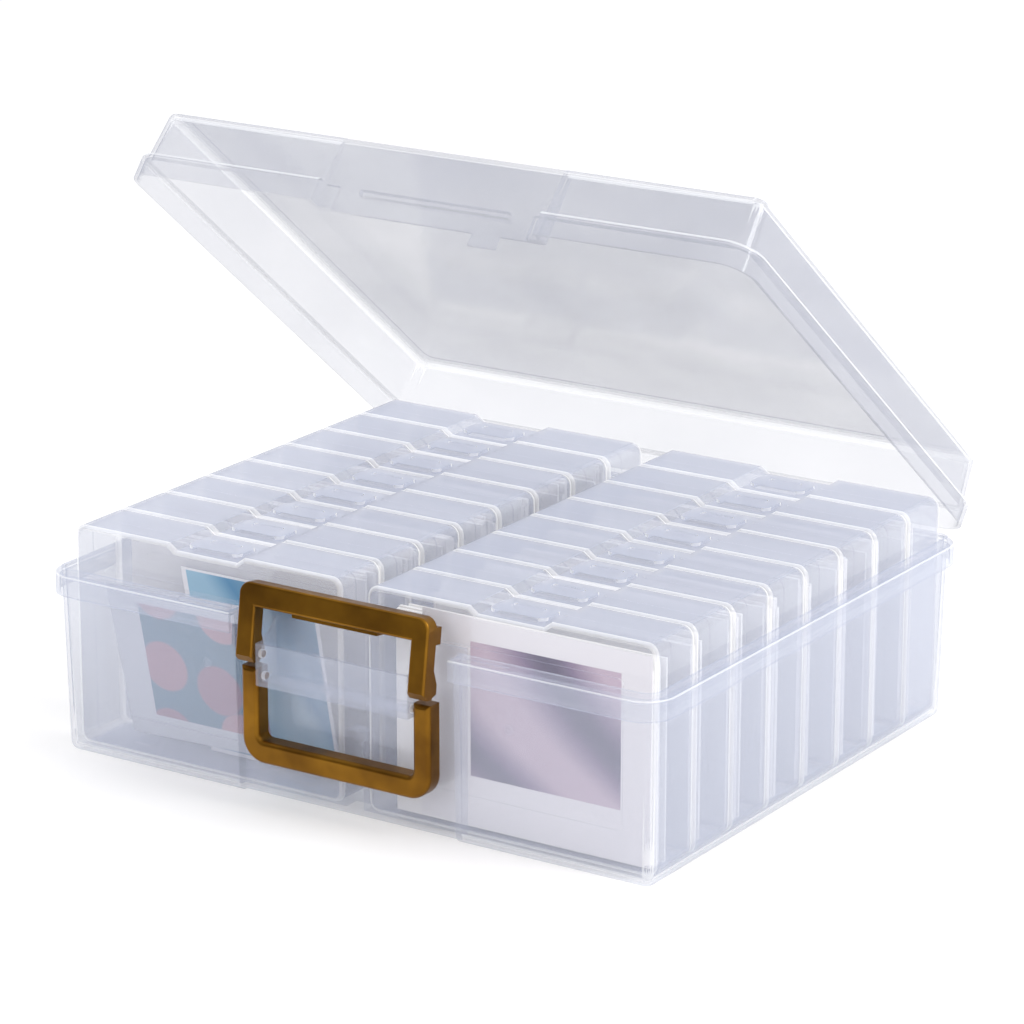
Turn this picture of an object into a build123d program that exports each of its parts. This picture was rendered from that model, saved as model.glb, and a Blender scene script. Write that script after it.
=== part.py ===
"""Photo keeper case: a clear snap-shut tub with a hinged lid, a front latch, a carry handle
and sixteen slim inner cases that stand in two columns and hold photo prints.

Frame: X runs along the front, Y from the front to the back, Z up, in millimetres.
The origin is under the middle of the tub, on the plane it stands on.
"""
import os
from math import cos, radians, sin, tan

from build123d import *

# ------------------------------------------------------------------ overall sizes
columns, rows = 2, 8        # the inner cases stand in two columns, one behind the other
rim_top = 99.0              # height of the ledge that carries the lid
lid_headroom = 14.7         # from the tops of the inner cases to the closed lid
lid_rest_angle = 39.0       # how far the lid stands open

# ------------------------------------------------------------------ tub
wall = 2.0                  # tub and lid walls
floor_thickness = 2.4
wall_draft = 1.5            # degrees that the tub walls lean outwards
rim_overhang = 4.8          # the rim stands this far out of the tub walls
rim_height = 11.0           # height of the band that hangs from the ledge
rim_radius = 17.0           # corner of the rim seen from above
base_fillet = 5.0           # round edge under the tub
lip_height = 2.6            # inner lip above the ledge, inside the lid's skirt
lip_gap = 0.5               # between the lip and the lid's recess walls
recess_side_gap = 9.2       # from the latch to each side of the front recess
recess_depth = 13.0         # from the rim's front to the recess wall
ledge_pad_length = 34.0     # raised pads on the ledge beside the recess
ledge_pad_height = 1.6
ledge_pad_width = 2.5
ledge_pad_gap = 0.5         # between a pad and the lid's skirt
corner_relief = 1.2         # the tub's inner corners are rounder than the cases' edges by this
post_side_gap = 2.5         # from the locating posts to the cases on both sides of them
post_depth = 9.0
post_height = 44.0

# ------------------------------------------------------------------ pivot bracket on the tub
bracket_side_gap = 1.0      # from its cheeks to the gold legs
bracket_above = 6.5         # over the latch's pins
bracket_below = 3.6         # under the handle's pins
pin_cover = 0.1             # from the pins' holes to the back of its front plate
bracket_wall = 2.2
bracket_slope = 9.0         # its cheeks rise this much towards the recess wall
rib_places = (-13.0, 1.0)   # stiffening fins behind its front plate
rib_foot = 11.0
rib_tip = 2.5
rib_thickness = 1.6

# ------------------------------------------------------------------ latch and carry handle
arm_half_width = 57.8       # both gold frames, half their width
arm_leg_width = 10.2
pin_radius = 1.9
pin_clearance = 0.3
pin_reach = 3.0             # length of a pin beyond the leg, inside the cheek's hole
latch_pin_height = 81.5
latch_pin_back = 0.5        # the latch's pins stand this far outside the rim's front
pivot_spacing = 12.4        # from the latch's pins down to the handle's pins
latch_lean = 8.2            # degrees that the closed latch leans towards the lid
latch_thickness = 8.0
latch_front = 7.0           # from its pin axis to its front face
latch_foot = 4.7            # below its pin axis
latch_top = 37.0            # above its pin axis
latch_bar = 12.4
latch_corner = 6.5
latch_knuckle = 4.5         # behind its pin axis
latch_knuckle_rise = 5.0
hook_half_width = 26.0
hook_reach = 5.0            # behind its pin axis
hook_thickness = 4.0
hook_gap = 0.4              # above the lid's catch
pull_lip_height = 2.0       # finger lip under the bar, as wide as the hook
pull_lip_setback = 2.5      # behind the latch's front face
latch_lug_top = 5.0         # the two end lugs start this far below the latch's top
latch_lug_height = 9.0
handle_thickness = 9.4
handle_pin_back = 1.8       # the handle's pins stand this far behind the rim's front
handle_end = 4.5            # the legs end this far above the pins
handle_drop = 46.5          # from its pins to the underside of its grip
handle_bar = 12.0
handle_corner = 13.0
handle_inner_corner = 3.5
handle_edge = 2.4
latch_edge = 1.4
latch_foot_bevel = 3.4      # its legs' feet are cut back, clear of the turning handle

# ------------------------------------------------------------------ lid
lid_gap = 0.3               # between the ledge and the lid's skirt
skirt_height = 13.0
skirt_edge = 1.6            # round top edge of the skirt
shoulder = 3.5              # step from the skirt in to the upper wall, at the skirt's foot
lid_roundness = 3.5         # the upper wall's corners are rounder than the tub's floor by this
lid_draft = 5.0             # degrees that the upper walls lean inwards
lid_top_fillet = 4.0
lid_recess_depth = 10.3     # the front recess, from the skirt's face to the recess wall
flange_gap = 1.2            # on each side of the latch, between the flange's two ends
flange_reach = 2.5          # the skirt goes on inside the recess as a low flange
top_margin = 9.0            # plain border round the sunk top panel
top_sink = 0.7
catch_side = 19.0           # the catch is this much wider than the hook, on each side
catch_reach = 3.6
catch_thickness = 3.2
catch_rise = 9.3            # underside of the catch above the skirt's foot
tab_start, tab_end = 26.0, 42.0
tab_drop = 7.0

# ------------------------------------------------------------------ lid hinge
hinge_gap = 0.4             # from the knuckles to the rim
hinge_drop = 7.0            # pin axis below the ledge
hinge_place = 112.0         # middle of each hinge, left and right
knuckle_width = 30.0
knuckle_radius = 3.9
hinge_pin_radius = 1.7
hinge_clearance = 0.35
lug_width = 4.0
lug_gap = 0.4               # between a knuckle and the lugs beside it

# ------------------------------------------------------------------ inner cases
inner_thickness = 35.8      # Y, one case
column_gap = 16.0           # between the two columns
side_gap = 0.6              # from the outer cases to the tub's side walls, at the floor
row_gap = 0.5
front_gap = 0.6             # from the recess wall to the first case
back_gap = 1.1              # from the last case to the tub's back wall, at the floor
standing_gap = 0.3          # under each case
inner_wall = 1.3
cover_depth = 14.2
seam = 0.2
inner_corner = 6.0
inner_edge = 2.2            # round edge of the front and back faces
panel_side, panel_top = 19.0, 21.0  # plain border round the cover's sunk panel
panel_sink = 0.4
panel_corner = 3.0
notch_side_gap = 2.5        # from the clasp to the sides of its notch
notch_flare = 5.0           # its sides spread this much towards the top
notch_depth = 3.6
clasp_width, clasp_thickness = 33.0, 1.7
clasp_end = 3.0             # behind its slot
clasp_front = 6.5
clasp_lift = 0.7            # gap under the clasp's free end
clasp_corner = 4.0
clasp_root = 5.0
slot_width, slot_depth = 19.0, 4.4
slot_front = 9.6
nub_clearance = 0.6
hinge_tab_place, hinge_tab_width = 52.0, 12.0
hinge_tab_reach = 4.0
hinge_tab_thickness = 1.0
tab_clearance = 0.3

# ------------------------------------------------------------------ photo prints
print_width, print_height = 152.0, 101.0
print_side_gap = 7.7        # from the prints to the case's side walls
print_headroom = 15.4       # from the prints to the case's top wall
stack_thickness = 14.0
stack_front = 1.6           # behind the cover's inner face

# ------------------------------------------------------------------ sizes that follow
stack_floor = inner_wall + tab_clearance + hinge_tab_thickness + tab_clearance
inner_width = print_width + 2 * (print_side_gap + inner_wall)
inner_height = stack_floor + print_height + print_headroom + inner_wall
case_step_x = inner_width + column_gap
case_step_y = inner_thickness + row_gap
block_width = columns * case_step_x - column_gap
block_depth = rows * case_step_y - row_gap
lean_out = rim_top * tan(radians(wall_draft))    # the tub's walls stand this far out at the rim
keeper_width = block_width + 2 * (side_gap + wall + lean_out + rim_overhang)
keeper_depth = (recess_depth + wall + front_gap + block_depth + back_gap + wall
                + lean_out + rim_overhang)
floor_width = keeper_width - 2 * (rim_overhang + lean_out)
floor_depth = keeper_depth - 2 * (rim_overhang + lean_out)
cavity_radius = inner_edge + side_gap + corner_relief
floor_radius = cavity_radius + wall
lid_corner = floor_radius + lid_roundness        # of its upper wall, at the skirt's foot
front = -keeper_depth / 2                        # front of the rim
back = keeper_depth / 2
lip_top = rim_top + lip_height
rim_bottom = rim_top - rim_height
recess_face = front + recess_depth
recess_half_width = arm_half_width + recess_side_gap
first_case_front = recess_face + wall + front_gap
case_floor = floor_thickness + standing_gap
post_back = first_case_front + block_depth
post_width = column_gap - 2 * post_side_gap

leg_inside = arm_half_width - arm_leg_width
latch_pin = (front - latch_pin_back, latch_pin_height)
handle_pin = (front + handle_pin_back, latch_pin_height - pivot_spacing)
bracket_half_width = leg_inside - bracket_side_gap
bracket_face = latch_pin[0] - pin_radius - pin_clearance - pin_cover - bracket_wall
bracket_top = latch_pin_height + bracket_above
bracket_bottom = handle_pin[1] - bracket_below

lid_bottom = rim_top + lid_gap
lid_top = case_floor + inner_height + lid_headroom + wall
skirt_top = lid_bottom + skirt_height
lid_recess_face = front + lid_recess_depth
catch_half_width = hook_half_width + catch_side
catch_bottom = lid_bottom + catch_rise
catch_top = catch_bottom + catch_thickness
hinge_axis = (back + knuckle_radius + hinge_gap, rim_top - hinge_drop)
cut_top = 2 * lid_top                            # cuts from above start here

tray_front = cover_depth + seam
clasp_depth = slot_front + slot_depth + clasp_end
notch_floor = clasp_width + 2 * notch_side_gap
notch_level = inner_height - notch_depth


def upright(y):
    """The upright plane at y: its own x and y run along X and Z, and it faces the front."""
    return Plane.XZ.offset(-y)


def side_plane(x):
    """The upright plane at x: its own x and y run along Y and Z, and it faces +X."""
    return Plane.YZ.offset(x)


def slab(width, depth, radius, bottom, height, taper=0.0, mode=Mode.ADD):
    """A level slab with round corners; a positive taper narrows it upwards."""
    with BuildSketch(Plane.XY.offset(bottom)) as outline:
        RectangleRounded(width, depth, radius)
    extrude(outline.sketch, amount=height, taper=taper, mode=mode)


def block(x_range, y_range, z_range, mode=Mode.ADD):
    """A plain box between two values on each axis."""
    (x0, x1), (y0, y1), (z0, z1) = x_range, y_range, z_range
    with BuildSketch(Plane.XY.offset(z0)) as outline:
        with Locations(((x0 + x1) / 2, (y0 + y1) / 2)):
            Rectangle(x1 - x0, y1 - y0)
    extrude(outline.sketch, amount=z1 - z0, mode=mode)


def rod(x0, x1, centre, radius, mode=Mode.ADD):
    """A round bar along X between x0 and x1 about the (y, z) centre."""
    with BuildSketch(side_plane(x0)) as outline:
        with Locations(centre):
            Circle(radius)
    extrude(outline.sketch, amount=x1 - x0, mode=mode)


def side_profile(x0, x1, points, mode=Mode.ADD):
    """A plate from x0 to x1 with the outline of the (y, z) points."""
    with BuildSketch(side_plane(x0)) as outline:
        Polygon(*points, align=None)
    extrude(outline.sketch, amount=x1 - x0, mode=mode)


# ------------------------------------------------------------------ tub
def tub_cavity():
    """The space inside the tub, with the recess left standing in it."""
    with BuildPart() as cavity:
        depth_below = floor_thickness * tan(radians(wall_draft))
        slab(floor_width - 2 * (wall - depth_below), floor_depth - 2 * (wall - depth_below),
             cavity_radius, floor_thickness, lip_top, taper=-wall_draft)
        fillet(cavity.edges().group_by(Axis.Z)[0], base_fillet - wall)
        reach = recess_half_width + wall
        block((-reach, reach), (front - rim_radius, recess_face + wall), (0, cut_top),
              mode=Mode.SUBTRACT)
    return cavity.part


def add_bracket():
    """The clear hood in the recess that carries the pins of the latch and the handle."""
    inside = bracket_half_width - bracket_wall
    block((-bracket_half_width, bracket_half_width), (bracket_face, bracket_face + bracket_wall),
          (bracket_bottom, bracket_top))
    block((-bracket_half_width, bracket_half_width), (bracket_face, recess_face),
          (bracket_bottom, bracket_bottom + bracket_wall))
    cheek = [(bracket_face, bracket_bottom), (recess_face, bracket_bottom),
             (recess_face, bracket_top + bracket_slope), (front, bracket_top),
             (bracket_face, bracket_top)]
    for start in (-bracket_half_width, inside):
        side_profile(start, start + bracket_wall, cheek)
    for place in rib_places:
        with BuildSketch(upright(bracket_face + bracket_wall + rib_thickness)) as fin:
            Polygon((place, bracket_bottom), (place + rib_foot, bracket_bottom),
                    (place + rib_tip, bracket_top), (place, bracket_top), align=None)
        extrude(fin.sketch, amount=rib_thickness)
    for pin in (latch_pin, handle_pin):
        for start in (-bracket_half_width, inside):
            rod(start, start + bracket_wall, pin, pin_radius + pin_clearance, mode=Mode.SUBTRACT)


def add_hinge_lugs():
    """Two lugs and a moulded pin at each end of the back rim."""
    y, z = hinge_axis
    outer = knuckle_width / 2 + lug_gap + lug_width
    for side in (-hinge_place, hinge_place):
        for start in (side - outer, side + outer - lug_width):
            side_profile(start, start + lug_width,
                         [(back - wall / 2, z - knuckle_radius), (y, z - knuckle_radius),
                          (y, z + knuckle_radius), (back - wall / 2, z + knuckle_radius)])
            rod(start, start + lug_width, hinge_axis, knuckle_radius)
        rod(side - outer, side + outer, hinge_axis, hinge_pin_radius)


with BuildPart() as tub:
    # rim: a ledge with a band hanging from its outer edge
    slab(keeper_width, keeper_depth, rim_radius, rim_bottom, rim_height)
    slab(keeper_width - 2 * wall, keeper_depth - 2 * wall, rim_radius - wall,
         rim_bottom, rim_height - wall, mode=Mode.SUBTRACT)
    rim_edges = tub.edges().group_by(Axis.Z)[-1]
    fillet(rim_edges, wall / 3)
    # drafted body
    slab(floor_width, floor_depth, floor_radius, 0, lip_top, taper=-wall_draft)
    fillet(tub.edges().group_by(Axis.Z)[0], base_fillet)
    # raised pads on the ledge, one on each side of the recess
    pad_front = front + wall + ledge_pad_gap
    for side in (-1, 1):
        near = side * recess_half_width
        far = side * (recess_half_width + ledge_pad_length)
        block((min(near, far), max(near, far)), (pad_front, pad_front + ledge_pad_width),
              (rim_top - wall / 2, rim_top + ledge_pad_height))
    add(tub_cavity(), mode=Mode.SUBTRACT)
    block((-recess_half_width, recess_half_width), (front - rim_radius, recess_face),
          (-wall, cut_top), mode=Mode.SUBTRACT)
    # the lip is left out where the lid's recess walls come down
    reach = recess_half_width + wall + lip_gap
    block((-reach, reach), (front, recess_face), (rim_top, cut_top), mode=Mode.SUBTRACT)
    add_bracket()
    # locating posts between the two columns, at their front and back ends
    block((-post_width / 2, post_width / 2), (recess_face + wall / 2, recess_face + wall + post_depth),
          (floor_thickness / 2, post_height))
    block((-post_width / 2, post_width / 2), (post_back - post_depth, post_back),
          (floor_thickness / 2, post_height))
    add_hinge_lugs()
tub.part.label = "tub"


# ------------------------------------------------------------------ lid, modelled closed
def upper_wall(inset, bottom, top, mode=Mode.ADD):
    """The drafted block above and inside the skirt, or the space inside it."""
    narrow = (bottom - lid_bottom) * tan(radians(lid_draft))
    step = 2 * (shoulder + inset + narrow)
    slab(keeper_width - step, keeper_depth - step, lid_corner - inset, bottom, top - bottom,
         taper=lid_draft, mode=mode)


def lid_cavity():
    """The space under the lid: inside the skirt, and up to the top panel."""
    with BuildPart() as cavity:
        slab(keeper_width - 2 * wall, keeper_depth - 2 * wall, rim_radius - wall,
             lid_bottom, skirt_height - wall)
        upper_wall(wall, lid_bottom, lid_top - wall)
        fillet(cavity.edges().group_by(Axis.Z)[-1], lid_top_fillet - wall / 2)
        reach = recess_half_width + wall
        block((-reach, reach), (front - wall, lid_recess_face + wall), (0, cut_top),
              mode=Mode.SUBTRACT)
    return cavity.part


def add_lid_knuckles():
    """Arms behind the skirt that reach down to rings on the hinge pins."""
    y, z = hinge_axis
    arm_front = back + lid_gap
    for side in (-hinge_place, hinge_place):
        start = side - knuckle_width / 2
        side_profile(start, start + knuckle_width,
                     [(arm_front, z), (y + knuckle_radius, z),
                      (y + knuckle_radius, lid_bottom + skirt_height / 3),
                      (back - wall / 2, skirt_top - wall / 2), (back - wall / 2, lid_bottom),
                      (arm_front, lid_bottom)])
        rod(start, start + knuckle_width, hinge_axis, knuckle_radius)
        rod(start, start + knuckle_width, hinge_axis, hinge_pin_radius + hinge_clearance,
            mode=Mode.SUBTRACT)


with BuildPart() as closed_lid:
    slab(keeper_width, keeper_depth, rim_radius, lid_bottom, skirt_height)
    fillet(closed_lid.edges().group_by(Axis.Z)[-1], skirt_edge)
    upper_wall(0, lid_bottom, lid_top)
    fillet(closed_lid.edges().group_by(Axis.Z)[-1], lid_top_fillet)
    top_step = 2 * (shoulder + top_margin + (lid_top - lid_bottom) * tan(radians(lid_draft)))
    slab(keeper_width - top_step, keeper_depth - top_step, lid_corner / 2,
         lid_top - top_sink, 2 * top_sink, mode=Mode.SUBTRACT)
    block((-recess_half_width, recess_half_width), (front - wall, lid_recess_face),
          (lid_bottom - wall, cut_top), mode=Mode.SUBTRACT)
    add(lid_cavity(), mode=Mode.SUBTRACT)
    # inside the recess the skirt goes on as a flange, with a gap for the latch
    flange_start = arm_half_width + flange_gap
    for ends in ((-recess_half_width - wall / 2, -flange_start),
                 (flange_start, recess_half_width + wall / 2)):
        block(ends, (lid_recess_face - flange_reach, lid_recess_face + wall / 2),
              (lid_bottom, skirt_top))
    block((-catch_half_width, catch_half_width),
          (lid_recess_face - catch_reach, lid_recess_face + wall / 2), (catch_bottom, catch_top))
    block((tab_start, tab_end), (lid_recess_face, lid_recess_face + wall),
          (lid_bottom - tab_drop, lid_bottom + wall))
    add_lid_knuckles()
hinge_line = Axis((0, *hinge_axis), (1, 0, 0))
lid_part = closed_lid.part.rotate(hinge_line, -lid_rest_angle)
lid_part.label = "lid"


# ------------------------------------------------------------------ gold frames
def add_plate(plane, thickness, bottom, top, corner, at_top):
    """A plate whose two outer corners, at its top or at its foot, are round."""
    with BuildSketch(plane) as outline:
        with Locations((0, (bottom + top) / 2)):
            Rectangle(2 * arm_half_width, top - bottom)
        rows_of_corners = outline.vertices().group_by(Axis.Y)
        fillet(rows_of_corners[-1] if at_top else rows_of_corners[0], corner)
    extrude(outline.sketch, amount=thickness)


with BuildPart() as upright_latch:
    y, z = latch_pin
    face, rear = y - latch_front, y - latch_front + latch_thickness
    add_plate(upright(rear), latch_thickness, z - latch_foot, z + latch_top, latch_corner, True)
    window_top = z + latch_top - latch_bar
    block((-leg_inside, leg_inside), (face - wall, rear + wall), (0, window_top),
          mode=Mode.SUBTRACT)
    fillet(upright_latch.edges().group_by(Axis.Y)[0], latch_edge)
    for start in (-arm_half_width, leg_inside):
        side_profile(start, start + arm_leg_width,
                     [(rear - wall, z - latch_foot), (y + latch_knuckle, z - latch_foot / 2),
                      (y + latch_knuckle, z + latch_knuckle_rise / 2),
                      (rear, z + 2 * latch_knuckle_rise), (rear - wall, z + 2 * latch_knuckle_rise)])
    foot = z - latch_foot
    for start in (-arm_half_width, leg_inside):
        side_profile(start, start + arm_leg_width,
                     [(face, foot), (face + latch_foot_bevel, foot), (face, foot + latch_foot_bevel)],
                     mode=Mode.SUBTRACT)
    rod(-leg_inside - wall, -leg_inside + pin_reach, latch_pin, pin_radius)
    rod(leg_inside - pin_reach, leg_inside + wall, latch_pin, pin_radius)
    # hook behind the bar, finger lip under it, and a lug behind the top of each leg
    lean = radians(latch_lean)
    hook_bottom = (catch_top + hook_gap - z + hook_reach * sin(lean)) / cos(lean) + z
    block((-hook_half_width, hook_half_width), (rear - wall, y + hook_reach),
          (hook_bottom, hook_bottom + hook_thickness))
    block((-hook_half_width, hook_half_width), (face + pull_lip_setback, rear),
          (window_top - pull_lip_height, window_top + wall))
    lug_top = z + latch_top - latch_lug_top
    for start in (-arm_half_width, leg_inside):
        block((start, start + arm_leg_width), (rear - wall, y + hook_reach),
              (lug_top - latch_lug_height, lug_top))
latch_part = upright_latch.part.rotate(Axis((0, *latch_pin), (1, 0, 0)), -latch_lean)
latch_part.label = "latch"

with BuildPart() as carry_handle:
    y, z = handle_pin
    face, rear = y - handle_thickness / 2, y + handle_thickness / 2
    add_plate(upright(rear), handle_thickness, z - handle_drop, z + handle_end, handle_corner,
              False)
    with BuildSketch(upright(rear + wall)) as window:
        window_bottom = z - handle_drop + handle_bar
        with Locations((0, (window_bottom + cut_top) / 2)):
            Rectangle(2 * leg_inside, cut_top - window_bottom)
        fillet(window.vertices().group_by(Axis.Y)[0], handle_inner_corner)
    extrude(amount=handle_thickness + 2 * wall, mode=Mode.SUBTRACT)
    fillet(carry_handle.edges().group_by(Axis.Y)[0], handle_edge)
    rod(-leg_inside - wall, -leg_inside + pin_reach, handle_pin, pin_radius)
    rod(leg_inside - pin_reach, leg_inside + wall, handle_pin, pin_radius)
carry_handle.part.label = "carry_handle"


# ------------------------------------------------------------------ inner cases
def case_outline(inset):
    """The case seen from the front: round corners and a notch for the clasp in its top."""
    with Locations((0, inner_height / 2)):
        RectangleRounded(inner_width - 2 * inset, inner_height - 2 * inset, inner_corner - inset)
    high = inner_height + inner_wall
    flare = notch_flare / notch_depth
    half_floor = notch_floor / 2 + inset
    half_high = half_floor + flare * (high - notch_level + inset)
    Polygon((-half_floor, notch_level - inset), (half_floor, notch_level - inset),
            (half_high, high), (-half_high, high), align=None, mode=Mode.SUBTRACT)


def half_shell(y0, y1, closed_y):
    """One half of a case between y0 and y1, closed by a face at closed_y."""
    with BuildSketch(upright(y1)) as outside:
        case_outline(0)
    extrude(outside.sketch, amount=y1 - y0)
    outer_face = 0 if closed_y == y0 else -1
    fillet(faces().sort_by(Axis.Y)[outer_face].edges(), inner_edge)
    hollow = (y0 + inner_wall, y1) if closed_y == y0 else (y0, y1 - inner_wall)
    with BuildSketch(upright(hollow[1])) as inside:
        case_outline(inner_wall)
    extrude(inside.sketch, amount=hollow[1] - hollow[0], mode=Mode.SUBTRACT)


with BuildPart() as case_cover:
    half_shell(0, cover_depth, closed_y=0)
    # sunk panel in its front face
    with BuildSketch(upright(panel_sink)):
        with Locations((0, inner_height / 2)):
            RectangleRounded(inner_width - 2 * panel_side, inner_height - 2 * panel_top,
                             panel_corner)
    extrude(amount=2 * panel_sink, mode=Mode.SUBTRACT)
    # clasp: a slotted tab that reaches over the tray's top
    clasp_floor = notch_level + clasp_lift
    with BuildSketch(Plane.XY.offset(clasp_floor)):
        with Locations((0, clasp_front + clasp_depth / 2)):
            RectangleRounded(clasp_width, clasp_depth, clasp_corner)
        with Locations((0, clasp_front + slot_front + slot_depth / 2)):
            RectangleRounded(slot_width, slot_depth, slot_depth / 3, mode=Mode.SUBTRACT)
    extrude(amount=clasp_thickness)
    block((-clasp_width / 2 + clasp_corner, clasp_width / 2 - clasp_corner),
          (clasp_front, clasp_front + clasp_root), (notch_level - inner_wall / 2, clasp_floor))
    # hinge tabs that lie on the tray's floor
    tab_bottom = inner_wall + tab_clearance
    for place in (-hinge_tab_place, hinge_tab_place):
        sides = (place - hinge_tab_width / 2, place + hinge_tab_width / 2)
        block(sides, (cover_depth - hinge_tab_reach, cover_depth + hinge_tab_reach),
              (tab_bottom, tab_bottom + hinge_tab_thickness))
        block(sides, (cover_depth - hinge_tab_reach, cover_depth - tab_clearance),
              (inner_wall / 2, tab_bottom + hinge_tab_thickness))

with BuildPart() as case_tray:
    half_shell(tray_front, inner_thickness, closed_y=inner_thickness)
    # nub that the clasp snaps over
    nub_y = clasp_front + slot_front + slot_depth / 2
    nub_half_depth = slot_depth / 2 - nub_clearance
    nub_half_width = slot_width / 2 - 2 * nub_clearance
    block((-nub_half_width, nub_half_width), (nub_y - nub_half_depth, nub_y + nub_half_depth),
          (notch_level - inner_wall / 2, clasp_floor + clasp_thickness - tab_clearance))

with BuildPart() as photo_stack:
    start = inner_wall + stack_front
    block((-print_width / 2, print_width / 2), (start, start + stack_thickness),
          (stack_floor, stack_floor + print_height))

# ------------------------------------------------------------------ files
os.makedirs("parts", exist_ok=True)
export_step(tub.part, "parts/tub.step")
export_step(lid_part, "parts/lid.step")
export_step(latch_part, "parts/latch.step")
export_step(carry_handle.part, "parts/carry_handle.step")

for column in range(columns):
    for row in range(rows):
        place = Location(((column - (columns - 1) / 2) * case_step_x,
                          first_case_front + row * case_step_y, case_floor))
        name = f"{'left' if column == 0 else 'right'}_{row + 1}"
        for kind, piece in (("cover", case_cover), ("tray", case_tray), ("photos", photo_stack)):
            copy = piece.part.moved(place)
            copy.label = f"case_{name}_{kind}"
            export_step(copy, f"parts/{copy.label}.step")
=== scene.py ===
"""Photo keeper case: a cloudy clear tub with a hinged lid, a gold latch and carry handle,
and sixteen inner cases that hold stacks of photo prints.

Metres, +Z up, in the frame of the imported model. X runs along the front, Y to the back.
"""
import math

import bpy
import numpy as np
from mathutils import Matrix, Vector


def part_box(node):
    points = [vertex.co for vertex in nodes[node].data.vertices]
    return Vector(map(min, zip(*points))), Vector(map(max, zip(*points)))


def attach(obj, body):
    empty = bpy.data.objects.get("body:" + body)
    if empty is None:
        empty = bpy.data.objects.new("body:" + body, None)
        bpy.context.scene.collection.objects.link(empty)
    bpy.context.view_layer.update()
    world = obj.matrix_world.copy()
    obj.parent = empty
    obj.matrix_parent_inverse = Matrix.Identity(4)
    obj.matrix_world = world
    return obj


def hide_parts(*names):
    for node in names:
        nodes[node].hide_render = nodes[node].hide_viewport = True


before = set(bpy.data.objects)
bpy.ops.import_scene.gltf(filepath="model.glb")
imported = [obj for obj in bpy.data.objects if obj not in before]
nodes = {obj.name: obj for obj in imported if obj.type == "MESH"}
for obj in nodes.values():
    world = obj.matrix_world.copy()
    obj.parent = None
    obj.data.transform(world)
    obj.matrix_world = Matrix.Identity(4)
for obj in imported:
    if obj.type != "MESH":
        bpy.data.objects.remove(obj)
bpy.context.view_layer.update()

MM = 0.001
COLUMNS = ("left", "right")
ROWS = range(1, 9)

# ------------------------------------------------------------------ camera
IMAGE_SIDE = 1024                 # pixels, square
VIEW_YAW = 33.17                  # degrees round to the right of the front
VIEW_PITCH = 17.27                # degrees down
VIEW_ROLL = 0.04
VIEW_FOCAL = 4400.0               # focal length in pixels
VIEW_DISTANCE = 2529.28 * MM
VIEW_TARGET = (-109.8 * MM, 170.6 * MM, 60.0 * MM)


def place_camera():
    """A long lens on the line from the target, back along the view direction."""
    yaw, pitch, roll = (math.radians(a) for a in (VIEW_YAW, VIEW_PITCH, VIEW_ROLL))
    forward = Vector((-math.sin(yaw) * math.cos(pitch), math.cos(yaw) * math.cos(pitch),
                      -math.sin(pitch)))
    level = Vector((math.cos(yaw), math.sin(yaw), 0.0))
    upright = level.cross(forward)
    right = level * math.cos(roll) + upright * math.sin(roll)
    up = upright * math.cos(roll) - level * math.sin(roll)
    data = bpy.data.cameras.new("camera")
    data.sensor_width = 36.0
    data.lens = VIEW_FOCAL * data.sensor_width / IMAGE_SIDE
    data.clip_start, data.clip_end = 0.05, 60.0
    camera = bpy.data.objects.new("camera", data)
    camera.matrix_world = Matrix((right, up, -forward)).transposed().to_4x4()
    camera.location = Vector(VIEW_TARGET) - forward * VIEW_DISTANCE
    bpy.context.scene.collection.objects.link(camera)
    bpy.context.scene.camera = camera


# ------------------------------------------------------------------ material helpers
def linear(code, alpha=1.0):
    """An sRGB hex colour as linear RGBA."""
    shares = np.array([int(code[i:i + 2], 16) / 255 for i in (1, 3, 5)])
    low, high = shares / 12.92, ((shares + 0.055) / 1.055) ** 2.4
    return (*np.where(shares <= 0.04045, low, high).tolist(), alpha)


def new_material(name):
    """An empty node material, its tree and its output node."""
    material = bpy.data.materials.new(name)
    material.use_nodes = True
    tree = material.node_tree
    tree.nodes.clear()
    return material, tree, tree.nodes.new("ShaderNodeOutputMaterial")


def add(tree, kind, inputs=None, **settings):
    """Adds one shader node; each input is a value or another node's output socket."""
    node = tree.nodes.new("ShaderNode" + kind)
    for key, value in settings.items():
        setattr(node, key, value)
    for key, value in (inputs or {}).items():
        if isinstance(value, bpy.types.NodeSocket):
            tree.links.new(value, node.inputs[key])
        else:
            node.inputs[key].default_value = value
    return node


def ramp(tree, factor, stops):
    """A colour ramp through (place, hex) stops."""
    node = add(tree, "ValToRGB", {"Fac": factor})
    elements = node.color_ramp.elements
    while len(elements) < len(stops):
        elements.new(0.5)
    for element, (place, code) in zip(elements, stops):
        element.position = place
        element.color = linear(code)
    return node.outputs["Color"]


# ------------------------------------------------------------------ materials
HELD_LIGHT = 0.10        # cloudy plastic scatters light forward: this share of its haze shades
                         # what lies behind it
ROUNDING_HIGHLIGHT = 0.24     # painted highlight: white haze added on the roundings along the edges, which catch the light
HAZE_ROUGHNESS = 0.4
GLOSS_ROUGHNESS = 0.12
HEAD_ON_MIRROR = 0.04    # the share of light that the gloss mirrors at right angles
MOTTLING = 70 * MM       # across one cloud of the large walls' uneven haze
SOFT_SLANT = 3.6         # powers of the slant by which the haze thickens: the high one keeps the
CLOUDY_SLANT = 2.0       # large walls clear, the low one clouds the inner cases' tops
BODY_SLANT, SHADE_SLANT, EDGE_SLANT = 0.8, 0.88, 0.96    # where each colour of the haze lies: its body colour, a painted shade and a painted highlight


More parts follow.
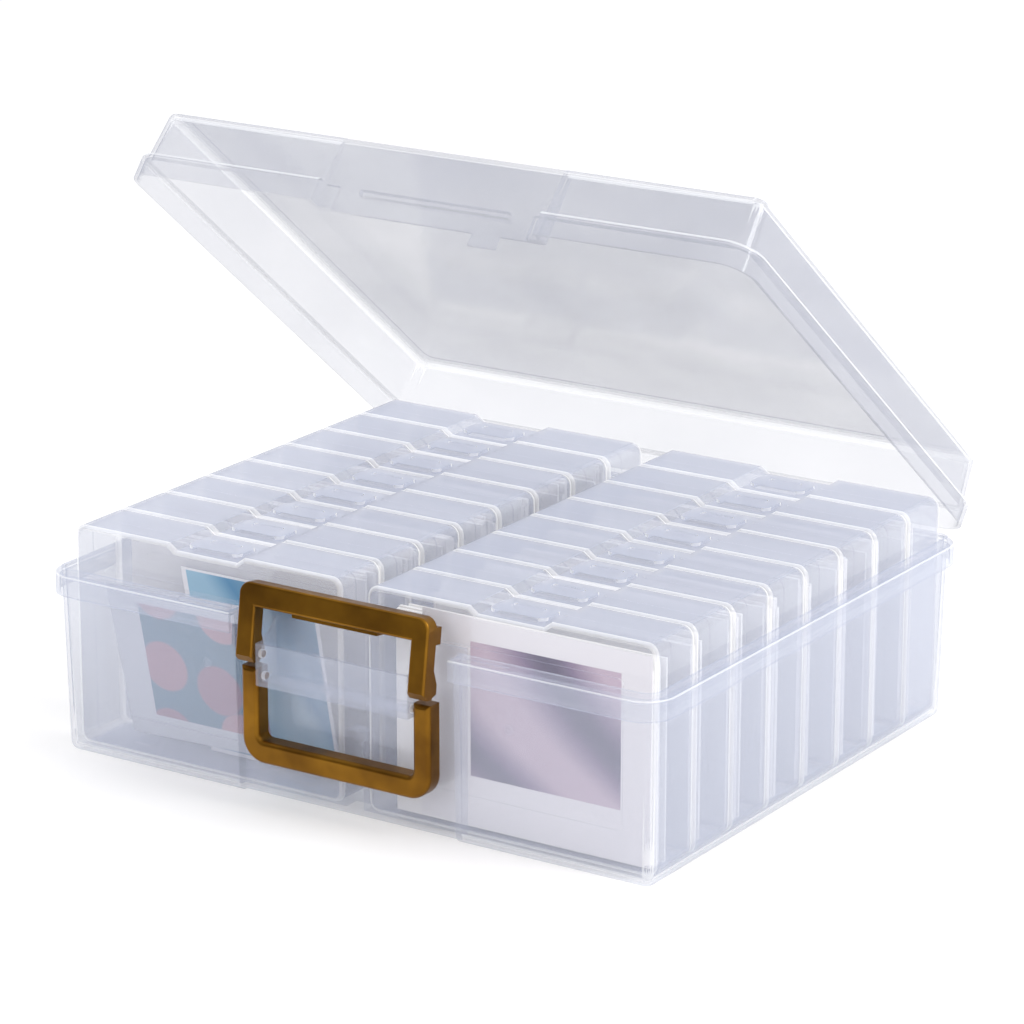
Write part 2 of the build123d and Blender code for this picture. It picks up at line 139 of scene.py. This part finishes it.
def cloudy_polypropylene(name, body, shade, painted_highlight, haze, edge_haze, slant_power, mottled):
    """Injection-moulded clear polypropylene: a bluish haze that thickens where the wall is seen
    at a slant. Towards its outlines the haze's colour turns to a painted shade and then to a
    painted highlight, so that they draw a darker line beside a white one. On the small roundings
    along the edges, which the face attribute "rounding" marks, a painted highlight whitens the
    haze. Over the haze lies a gloss that mirrors more at a slant, by the fifth power of one minus
    the cosine, and only on the side that faces out. The large walls are faintly mottled."""
    material, tree, out = new_material(name)
    slant = add(tree, "LayerWeight", {"Blend": 0.5}).outputs["Facing"]
    steep = add(tree, "Math", {0: slant, 1: slant_power}, operation="POWER").outputs[0]
    alpha = add(tree, "MapRange", {"Value": steep, "To Min": haze, "To Max": edge_haze}).outputs[0]
    if mottled:
        place = add(tree, "TexCoord").outputs["Object"]
        cloud = add(tree, "TexNoise", {"Vector": place, "Scale": 1 / MOTTLING, "Detail": 1.0})
        share = add(tree, "MapRange", {"Value": cloud.outputs["Fac"], "From Min": 0.3,
                                       "From Max": 0.7, "To Min": 0.9, "To Max": 1.1}).outputs[0]
        alpha = add(tree, "Math", {0: alpha, 1: share}, operation="MULTIPLY",
                    use_clamp=True).outputs[0]
    # painted shade and painted highlight: the haze colour darkens, then turns white, towards the
    # outlines
    colour = ramp(tree, slant, [(BODY_SLANT, body), (SHADE_SLANT, shade), (EDGE_SLANT, painted_highlight)])
    # painted highlight: the roundings take the white highlight colour and more haze
    rounding = add(tree, "Attribute", attribute_name="rounding").outputs["Fac"]
    colour = add(tree, "Mix", {"Factor": rounding, 6: colour, 7: linear(painted_highlight)},
                 data_type="RGBA").outputs[2]
    alpha = add(tree, "Math", {0: rounding, 1: ROUNDING_HIGHLIGHT, 2: alpha},
                operation="MULTIPLY_ADD", use_clamp=True).outputs[0]
    path = add(tree, "LightPath").outputs
    seen = add(tree, "Math", {0: path["Is Camera Ray"], 1: path["Is Glossy Ray"]},
               operation="MAXIMUM").outputs[0]
    held = add(tree, "MapRange", {"Value": seen, "To Min": HELD_LIGHT, "To Max": 1.0}).outputs[0]
    alpha = add(tree, "Math", {0: alpha, 1: held}, operation="MULTIPLY").outputs[0]
    haze_layer = add(tree, "BsdfPrincipled", {"Base Color": colour, "Roughness": HAZE_ROUGHNESS,
                                              "Specular IOR Level": 0.0, "Alpha": alpha})
    gloss = add(tree, "BsdfGlossy", {"Color": linear("#FFFFFF"), "Roughness": GLOSS_ROUGHNESS})
    grazing = add(tree, "Math", {0: slant, 1: 5.0}, operation="POWER").outputs[0]
    mirror = add(tree, "MapRange", {"Value": grazing, "To Min": HEAD_ON_MIRROR,
                                    "To Max": 1.0}).outputs[0]
    mirror = add(tree, "Math", {0: mirror, 1: seen}, operation="MULTIPLY").outputs[0]
    inside = add(tree, "NewGeometry").outputs["Backfacing"]
    outside = add(tree, "Math", {0: 1.0, 1: inside}, operation="SUBTRACT").outputs[0]
    mirror = add(tree, "Math", {0: mirror, 1: outside}, operation="MULTIPLY").outputs[0]
    shader = add(tree, "MixShader", {0: mirror, 1: haze_layer.outputs[0], 2: gloss.outputs[0]})
    tree.links.new(shader.outputs[0], out.inputs["Surface"])
    return material


GOLD_PATCH = 25 * MM
GOLD_GRAIN = 0.8 * MM    # the real flakes are too fine to show, so the grain is drawn coarser


def satin_gold():
    """ABS moulded in a bronze-gold metallic finish: satin, a little darker in patches, with
    fine flake grain."""
    material, tree, out = new_material("abs_satin_gold_metallic")
    place = add(tree, "TexCoord").outputs["Object"]
    patch = add(tree, "TexNoise", {"Vector": place, "Scale": 1 / GOLD_PATCH, "Detail": 3.0})
    colour = ramp(tree, patch.outputs["Fac"], [(0.3, "#6B460C"), (0.7, "#916518")])
    grain = add(tree, "TexNoise", {"Vector": place, "Scale": 1 / GOLD_GRAIN, "Detail": 2.0})
    rough = add(tree, "MapRange", {"Value": grain.outputs["Fac"], "To Min": 0.28, "To Max": 0.42})
    bump = add(tree, "Bump", {"Height": grain.outputs["Fac"], "Strength": 0.06,
                              "Distance": 0.1 * MM})
    shader = add(tree, "BsdfPrincipled", {"Base Color": colour, "Metallic": 0.85,
                                          "Roughness": rough.outputs[0],
                                          "Normal": bump.outputs["Normal"]})
    tree.links.new(shader.outputs[0], out.inputs["Surface"])
    return material


PAPER_LINE = 1.7765 * MM         # one print is too thin to show: a line stands for about six
AXIS_WAVE = 2 * math.pi / 20     # a wave texture's bands repeat after this along one axis,
DIAGONAL_WAVE = 2 * math.pi / 10     # and after this in the sum of the three


def photo_paper():
    """Cut edges of stacked photo paper: warm white, with fine lines between the prints."""
    material, tree, out = new_material("photo_paper_stack")
    place = add(tree, "TexCoord").outputs["Object"]
    lines = add(tree, "TexWave", {"Vector": place, "Scale": AXIS_WAVE / PAPER_LINE,
                                  "Distortion": 1.5, "Detail": 2.0, "Detail Scale": 20.0},
                bands_direction="Y")
    colour = ramp(tree, lines.outputs["Fac"], [(0.0, "#EDE9E7"), (0.5, "#FDFCFB")])
    shader = add(tree, "BsdfPrincipled", {"Base Color": colour, "Roughness": 0.6})
    tree.links.new(shader.outputs[0], out.inputs["Surface"])
    return material


# ------------------------------------------------------------------ surroundings
FLOOR_REACH = 14.0                 # metres from the middle to each side
FLOOR_DROP = 0.3 * MM              # the floor lies this far under the tub's feet
FLOOR_GLOW = 0.155                 # lifts the paper to white for the camera
WORLD_LEVEL = 0.9
LAMP_TARGET = Vector((0, 0, 0.1))
LAMPS = (("softbox_above", (2.2, 0.4, 2.0), 1.4, 38.0),    # name, place, side, watts
         ("fill_front", (-0.6, -2.4, 1.6), 1.6, 14.0))
FLAG_SPAN = (-1.7, 0.05)           # the black card's left and right edge,
FLAG_PLACE = -0.6                  # its place in front of the object
FLAG_HEIGHT = 0.8                  # and its top


def white_floor():
    """A matt white studio sweep that the camera sees as white, with the shadow left on it."""
    material, tree, out = new_material("studio_paper")
    path = add(tree, "LightPath")
    seen = add(tree, "Math", {0: path.outputs["Is Camera Ray"],
                              1: path.outputs["Is Glossy Ray"]}, operation="MAXIMUM").outputs[0]
    lift = add(tree, "Math", {0: seen, 1: FLOOR_GLOW}, operation="MULTIPLY").outputs[0]
    glow = add(tree, "Emission", {"Color": linear("#FFFFFF"), "Strength": lift})
    paper = add(tree, "BsdfDiffuse", {"Color": linear("#F4F3F1")})
    both = add(tree, "AddShader", {0: paper.outputs[0], 1: glow.outputs[0]})
    tree.links.new(both.outputs[0], out.inputs["Surface"])
    return material


def studio():
    """Floor, world and lamps."""
    mesh = bpy.data.meshes.new("floor")
    corners = [(across * FLOOR_REACH, back * FLOOR_REACH, -FLOOR_DROP)
               for across, back in ((-1, -1), (1, -1), (1, 1), (-1, 1))]
    mesh.from_pydata(corners, [], [(0, 1, 2, 3)])
    mesh.materials.append(white_floor())
    floor = bpy.data.objects.new("floor", mesh)
    bpy.context.scene.collection.objects.link(floor)

    world = bpy.data.worlds.new("studio")
    bpy.context.scene.world = world
    world.use_nodes = True
    tree = world.node_tree
    tree.nodes.clear()
    path = add(tree, "LightPath")
    level = add(tree, "MapRange", {"Value": path.outputs["Is Camera Ray"],
                                   "To Min": WORLD_LEVEL, "To Max": 1.0})
    sky = add(tree, "Background", {"Color": linear("#F9FAFF"), "Strength": level.outputs[0]})
    out = add(tree, "OutputWorld")
    tree.links.new(sky.outputs[0], out.inputs["Surface"])

    for name, spot, side, power in LAMPS:
        data = bpy.data.lights.new(name, "AREA")
        data.shape, data.size, data.energy = "SQUARE", side, power
        lamp = bpy.data.objects.new(name, data)
        lamp.location = spot
        lamp.rotation_euler = (LAMP_TARGET - Vector(spot)).to_track_quat("-Z", "Y").to_euler()
        bpy.context.scene.collection.objects.link(lamp)


def dark_flag():
    """A black card in front of the object that only mirrored rays see: it gives the gold frames
    their dark tones."""
    mesh = bpy.data.meshes.new("flag")
    left, right = FLAG_SPAN
    corners = [(x, FLAG_PLACE, z)
               for x, z in ((left, 0), (right, 0), (right, FLAG_HEIGHT), (left, FLAG_HEIGHT))]
    mesh.from_pydata(corners, [], [(0, 1, 2, 3)])
    material, tree, out = new_material("black_card")
    shader = add(tree, "BsdfDiffuse", {"Color": linear("#101010")})
    tree.links.new(shader.outputs[0], out.inputs["Surface"])
    mesh.materials.append(material)
    flag = bpy.data.objects.new("flag", mesh)
    for kind in ("camera", "diffuse", "transmission", "shadow"):
        setattr(flag, f"visible_{kind}", False)
    bpy.context.scene.collection.objects.link(flag)


# ------------------------------------------------------------------ moulded parts
ROUNDING_RADIUS = 4.5 * MM       # a rounding along an edge is tighter than this
SHARP_TURN = math.radians(60)    # two faces that meet at more than this form a sharp edge
WELD = 0.01 * MM                 # corners closer than this are one point


def mark_roundings(mesh):
    """Writes the face attribute "rounding": one on the small roundings along the edges, zero on
    the walls. Two triangles that share an edge turn by the angle between their normals. That
    angle over a triangle's height above the edge is the surface's curvature, and the triangle
    lies on a rounding if the curvature is over one part in ROUNDING_RADIUS."""
    count = len(mesh.polygons)
    corners = np.empty(count * 3, np.int64)
    mesh.loops.foreach_get("vertex_index", corners)
    points = np.empty(len(mesh.vertices) * 3)
    mesh.vertices.foreach_get("co", points)
    normals, areas = np.empty(count * 3), np.empty(count)
    mesh.polygons.foreach_get("normal", normals)
    mesh.polygons.foreach_get("area", areas)
    points, normals = points.reshape(-1, 3), normals.reshape(-1, 3)
    same = np.unique(np.round(points / WELD).astype(np.int64), axis=0,
                     return_inverse=True)[1].ravel()
    triangles = corners.reshape(-1, 3)
    ends = np.stack([triangles, np.roll(triangles, -1, axis=1)], -1).reshape(-1, 2)
    lengths = np.linalg.norm(points[ends[:, 0]] - points[ends[:, 1]], axis=1)
    merged = np.sort(same[ends], axis=1)
    keys = merged[:, 0] * len(points) + merged[:, 1]
    order = np.argsort(keys, kind="stable")
    pairs = np.nonzero(keys[order][1:] == keys[order][:-1])[0]
    first, second = order[pairs], order[pairs + 1]
    turn = np.arccos(np.clip((normals[first // 3] * normals[second // 3]).sum(1), -1, 1))
    turn[turn > SHARP_TURN] = 0
    curve = np.zeros(count)
    for side in (first, second):
        height = 2 * areas[side // 3] / np.maximum(lengths[side], 1e-9)
        np.maximum.at(curve, side // 3, turn / np.maximum(height, 1e-6))
    marks = mesh.attributes.new("rounding", "FLOAT", "FACE")
    marks.data.foreach_set("value", (curve > 1 / ROUNDING_RADIUS).astype(np.float32))


def dress(node, material):
    """Gives a CAD node its finish."""
    mesh = nodes[node].data
    mesh.materials.clear()
    mesh.materials.append(material)


def dress_clear(node, material):
    """Gives a CAD node of clear plastic its finish, and the roundings that this finish reads."""
    dress(node, material)
    mark_roundings(nodes[node].data)


# ------------------------------------------------------------------ prints
def closed_slab(front, back):
    """Vertices and faces of a slab between two grids of points of the same shape: the front
    grid, the back grid turned round, and a strip of quads along each of the four edges."""
    count_u, count_v = front.shape[:2]
    index = np.arange(count_u * count_v).reshape(count_u, count_v)
    other = index + count_u * count_v
    quads = np.stack([index[:-1, :-1], index[1:, :-1], index[1:, 1:], index[:-1, 1:]], -1)
    faces = [quads.reshape(-1, 4), (quads + count_u * count_v)[..., ::-1].reshape(-1, 4)]
    rim = np.concatenate([index[:, 0], index[-1, 1:], index[-2::-1, -1], index[0, -2:0:-1]])
    rim_back = np.concatenate([other[:, 0], other[-1, 1:], other[-2::-1, -1], other[0, -2:0:-1]])
    faces.append(np.stack([rim, rim_back, np.roll(rim_back, -1), np.roll(rim, -1)], -1))
    points = np.concatenate([front.reshape(-1, 3), back.reshape(-1, 3)])
    return points, np.concatenate(faces)


def sheet(width, height, thickness, corner, lean=0.0, turn=0.0):
    """A bundle of prints with its lower left corner at the corner point: the front is the plane
    of x and z, leaned back by lean, so that it rises by the cosine and runs back by the sine,
    and turned in its own plane by turn (radians)."""
    across, up = np.meshgrid(np.linspace(0, 1, 13), np.linspace(0, 1, 5), indexing="ij")
    x = (across - 0.5) * width
    z = up * height * math.cos(lean)
    y = up * height * math.sin(lean)
    turned_x = x * math.cos(turn) - z * math.sin(turn) + width / 2
    turned_z = x * math.sin(turn) + z * math.cos(turn) + width / 2 * abs(math.sin(turn))
    front = np.stack([turned_x, y, turned_z], -1) + np.array(corner)
    return closed_slab(front, front + np.array([0.0, thickness, 0.0]))


def make_piece(name, parts, material, body, stands_for=()):
    """One mesh from several (points, faces) parts, dressed, on its body."""
    offset, points, faces = 0, [], []
    for part_points, part_faces in parts:
        points.append(part_points)
        faces.append(part_faces + offset)
        offset += len(part_points)
    mesh = bpy.data.meshes.new(name)
    mesh.from_pydata(np.concatenate(points).tolist(), [], np.concatenate(faces).tolist())
    mesh.materials.append(material)
    mesh.update()
    piece = bpy.data.objects.new(name, mesh)
    bpy.context.scene.collection.objects.link(piece)
    if stands_for:
        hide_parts(*stands_for)
    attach(piece, body)


BAND_REPEAT = 94.248 * MM        # of the cards' soft bands, along x or z
PEBBLE_SPACING = 36 * MM


def picture_card(name, picture, margin, colours, bands):
    """A white-bordered photo card: inside the picture's frame, given as x and z ranges, lies a
    plain pattern of round pebbles or of soft wavy bands in the given colours."""
    material, tree, out = new_material(name)
    place = add(tree, "TexCoord").outputs["Object"]
    parts = add(tree, "SeparateXYZ", {"Vector": place}).outputs
    inside = None
    for axis, (start, end) in (("X", picture[0]), ("Z", picture[1])):
        off = add(tree, "Math", {0: parts[axis], 1: (start + end) / 2 * MM}, operation="SUBTRACT")
        size = add(tree, "Math", {0: off.outputs[0]}, operation="ABSOLUTE").outputs[0]
        within = add(tree, "Math", {0: size, 1: (end - start) / 2 * MM}, operation="LESS_THAN")
        inside = within.outputs[0] if inside is None else add(
            tree, "Math", {0: inside, 1: within.outputs[0]}, operation="MULTIPLY").outputs[0]
    ground, first, second, dark = colours
    if bands:
        wave = add(tree, "TexWave", {"Vector": place, "Scale": DIAGONAL_WAVE / BAND_REPEAT,
                                     "Distortion": 5.0, "Detail": 1.0, "Detail Scale": 0.8},
                   bands_direction="DIAGONAL")
        art = ramp(tree, wave.outputs["Fac"], [(0.0, dark), (0.22, first), (0.5, ground),
                                               (0.85, second)])
    else:
        face = add(tree, "CombineXYZ", {0: parts["X"], 1: parts["Z"]}).outputs[0]
        cells = add(tree, "TexVoronoi", {"Vector": face, "Scale": 1 / PEBBLE_SPACING,
                                         "Randomness": 0.7}, voronoi_dimensions="2D").outputs
        tint = add(tree, "SeparateColor", {"Color": cells["Color"]}).outputs[0]
        stone = ramp(tree, tint, [(0.0, dark), (0.35, first), (0.7, second)])
        near = add(tree, "MapRange", {"Value": cells["Distance"], "From Min": 0.38,
                                      "From Max": 0.42, "To Min": 1.0, "To Max": 0.0}).outputs[0]
        art = add(tree, "Mix", {"Factor": near, 6: linear(ground), 7: stone},
                  data_type="RGBA").outputs[2]
    colour = add(tree, "Mix", {"Factor": inside, 6: linear(margin), 7: art},
                 data_type="RGBA").outputs[2]
    shader = add(tree, "BsdfPrincipled", {"Base Color": colour, "Roughness": 0.35})
    tree.links.new(shader.outputs[0], out.inputs["Surface"])
    return material


CARD_RISE = 9.0 * MM             # the tallest prints stand this far above the plain block
SIDE_PUSH = 5.5 * MM             # the prints stand up to this far out of the case's middle
LEFT_LEAN = math.radians(12.0)   # the few prints of the left front case lean forward,
LEANING_WIDTH = 82 * MM          # are narrower, and stand towards the case's inner side,
LEANING_PLACE = 64 * MM          # this far from the outer end of its plain block,
LEANING_SETBACK = 4.0 * MM       # and this far behind it
LEANING_DEPTH = 3.5 * MM
LEAST_BUNDLE = 1.2 * MM          # a gap at the back of the stack under this stays empty
BUNDLE_GAP = 0.15 * MM


def print_stack(case, rng):
    """Bundles of prints that stand one behind the other on the case's floor, each a little
    thicker, higher and further aside than the last, or less so. Those of the left front case
    are few and lean forward behind the leading cards."""
    low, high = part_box(f"case_{case}_photos")
    outward = SIDE_PUSH if case.startswith("right") else -SIDE_PUSH
    leaning = case == "left_1"
    room, lean = high.x - low.x, 0.0
    y, last = low.y + (LEAST_BUNDLE if case == "right_1" else 0.0), high.y
    if leaning:
        room, lean = LEANING_WIDTH, -LEFT_LEAN
        y = high.y + LEANING_SETBACK
        last = y + LEANING_DEPTH
    parts = []
    while y < last - LEAST_BUNDLE:
        thickness = min(rng.uniform(1.0, 2.6) * MM, last - y)
        width = room - rng.uniform(0, 3) * MM
        height = (high.z - low.z) + rng.uniform(0, CARD_RISE)
        aside = outward * rng.uniform(0.4, 1.0) + (high.x - low.x - width) / 2
        if leaning:
            aside = LEANING_PLACE
        parts.append(sheet(width, height, thickness - BUNDLE_GAP, (low.x + aside, y, low.z),
                           lean=lean))
        y += thickness
    make_piece(f"case_{case}_prints", parts, paper, f"case_{case}",
               [f"case_{case}_photos"])


CARD_THICKNESS = 0.4 * MM
LEFT_CARDS_SETBACK = 3.6         # millimetres behind the left front case's plain block


def front_cards():
    """The leading cards of the two front cases: on the left one that leans forward before a
    blue one, on the right one that stands before the stack. Sizes in millimetres."""
    low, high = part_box("case_left_1_photos")
    foot = (high.y - low.y) / MM + LEFT_CARDS_SETBACK
    # The left front card's grey margin, #C4C6D0, is its white border with painted shade.
    cards = (("card_left_front", "left", (135, 90), (-157, foot - 0.8, 1.0), -LEFT_LEAN, 0.03,
              ((-140, -38), (20, 86)), "#C4C6D0", ("#4F768C", "#7C5172", "#AE848E", "#2E3B52"),
              False),
             ("card_left_back", "left", (84, 110), (-107, foot, 0.0), -LEFT_LEAN, 0.0,
              ((-104, -25), (8, 112)), "#D2D2D9", ("#5487AC", "#6A93B0", "#8FB0C6", "#42708F"),
              True),
             ("card_right_front", "right", (134, 109.5), (38.5, 0.5, 0.5), 0.0, -0.008,
              ((68, 156), (33, 104)), "#EBE7EA", ("#A28DA1", "#7A6481", "#C4ADBC", "#4F405C"),
              True))
    for (name, side, (width, height), (x, y, z), lean, turn, picture, margin, colours,
         bands) in cards:
        corner = (x * MM, low.y + y * MM, low.z + z * MM)
        part = sheet(width * MM, height * MM, CARD_THICKNESS, corner, lean=lean, turn=turn)
        finish = picture_card(f"{name}_print", picture, margin, colours, bands)
        make_piece(name, [part], finish, f"case_{side}_1")


PANEL_SINK = 0.4 * MM            # the cover's panel lies this far behind its face
GATE_RADII = np.array([0.0, 0.7, 0.8, 1.9, 2.0, 2.6, 2.7]) * MM
GATE_RISE = np.array([0.35, 0.35, 0.05, 0.05, 0.35, 0.35, 0.0]) * MM


def gate_marks():
    """The round mark that the moulding gate leaves in the middle of the two front covers: a
    raised ring with a dot, a profile of radius and rise turned about the cover's middle."""
    turns = np.linspace(0, 2 * math.pi, 25)[:-1]
    for column in COLUMNS:
        low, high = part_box(f"case_{column}_1_cover")
        centre = (low + high) / 2
        x = centre.x + GATE_RADII[:, None] * np.cos(turns)
        z = centre.z + GATE_RADII[:, None] * np.sin(turns)
        y = np.repeat(low.y + PANEL_SINK - GATE_RISE[:, None], len(turns), axis=1)
        points = np.stack([x, y, z], -1).reshape(-1, 3)
        index = np.arange(len(points)).reshape(len(GATE_RADII), len(turns))
        beside = np.roll(index, -1, axis=1)
        faces = np.stack([index[:-1], index[1:], beside[1:], beside[:-1]], -1).reshape(-1, 4)
        make_piece(f"gate_mark_{column}", [(points, faces)], clear_case, f"case_{column}_1")


# Colours of each clear finish: its body, a darker painted shade and a white painted highlight for
# the outlines and roundings.
clear_tub = cloudy_polypropylene("polypropylene_tub", "#BBC1D3", "#858EAA", "#FFFFFF",
                                 0.14, 0.95, SOFT_SLANT, True)
clear_lid = cloudy_polypropylene("polypropylene_lid", "#ADB0BC", "#868DA2", "#FDFEFF",
                                 0.17, 0.95, SOFT_SLANT, True)
clear_case = cloudy_polypropylene("polypropylene_inner_case", "#BCC1D1", "#8B92AA", "#FFFFFF",
                                  0.07, 0.95, CLOUDY_SLANT, False)
gold = satin_gold()
paper = photo_paper()

rng = np.random.default_rng(7)
place_camera()
studio()
dark_flag()
dress_clear("tub", clear_tub)
dress_clear("lid", clear_lid)
dress("latch", gold)
dress("carry_handle", gold)
for column in COLUMNS:
    for row in ROWS:
        dress_clear(f"case_{column}_{row}_cover", clear_case)
        dress_clear(f"case_{column}_{row}_tray", clear_case)
        print_stack(f"{column}_{row}", rng)
front_cards()
gate_marks()

scene = bpy.context.scene
scene.view_settings.view_transform = "Standard"
scene.cycles.transparent_max_bounces = 48    # a ray passes the walls of many inner cases
scene.cycles.max_bounces = 5
scene.cycles.diffuse_bounces = 2
scene.cycles.glossy_bounces = 2
scene.cycles.transmission_bounces = 1
